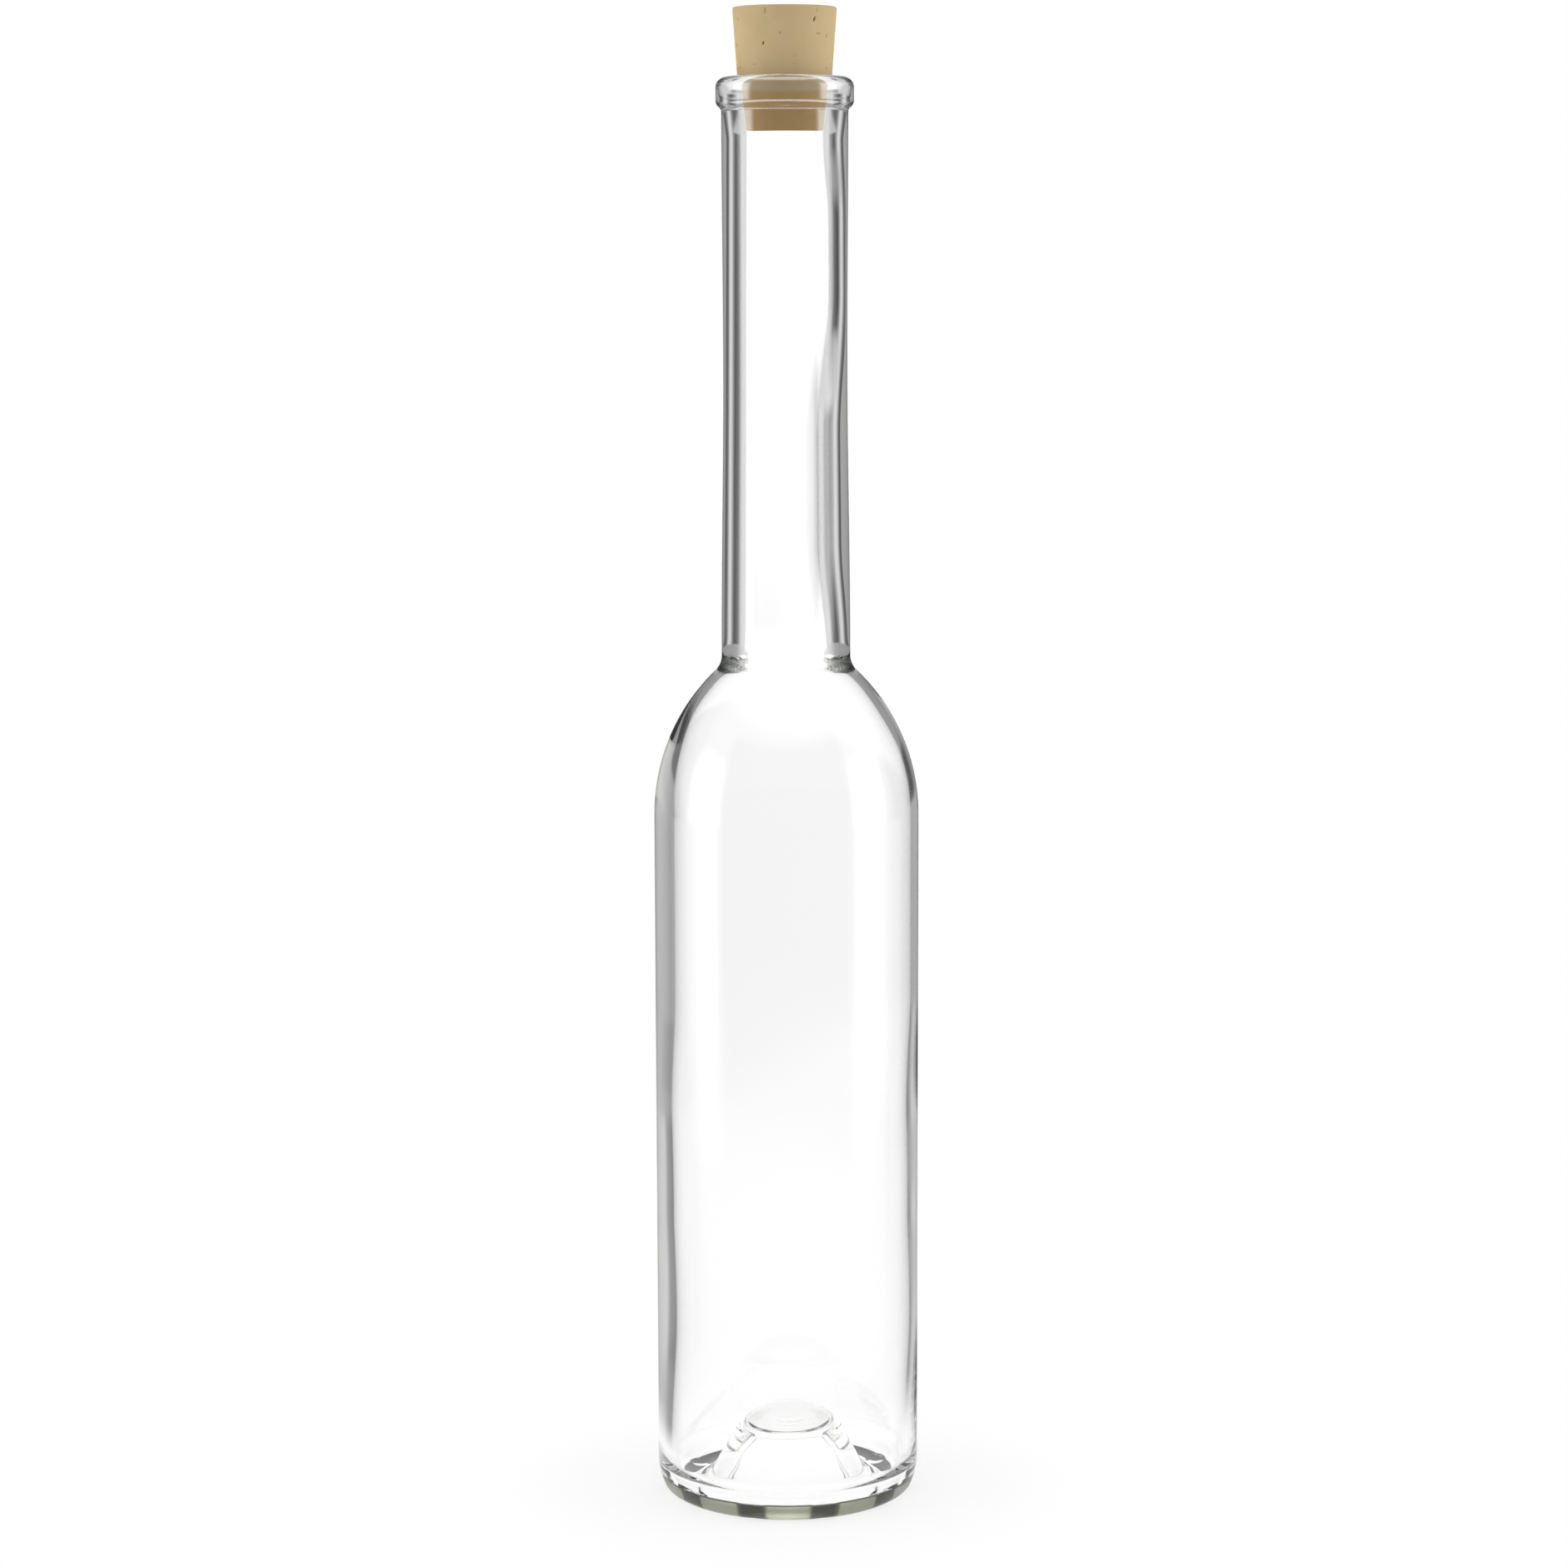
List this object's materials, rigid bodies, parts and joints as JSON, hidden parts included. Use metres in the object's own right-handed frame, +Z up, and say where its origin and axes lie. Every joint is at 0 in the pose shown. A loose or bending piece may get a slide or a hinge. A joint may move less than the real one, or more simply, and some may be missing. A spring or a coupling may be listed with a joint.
{
  "type": "corked long-neck glass bottle",
  "caption": "Clear glass long-neck bottle with a rounded shoulder, a raised punt in its base and a tapered natural cork that pulls out of the mouth.",
  "frame": {"origin": "middle of the base, on the surface that the bottle stands on", "axes": "+Z up along the bottle's axis, towards the cork; the bottle is round, so X and Y are alike"},
  "size_m": [0.057, 0.057, 0.3201],
  "materials": {
    "clear_glass": "clear, fire-polished, with a faint green cast in thick places",
    "natural_cork": "smooth ground cork bark, matt"
  },
  "bodies": {
    "bottle": {"glass_bottle": "clear_glass"},
    "cork": {"cork_stopper": "natural_cork"}
  },
  "joints": [
    {"name": "cork_pull", "type": "slide", "parent": "bottle", "child": "cork", "axis": [0, 0, 1], "range_m": [0, 0.06]}
  ]
}
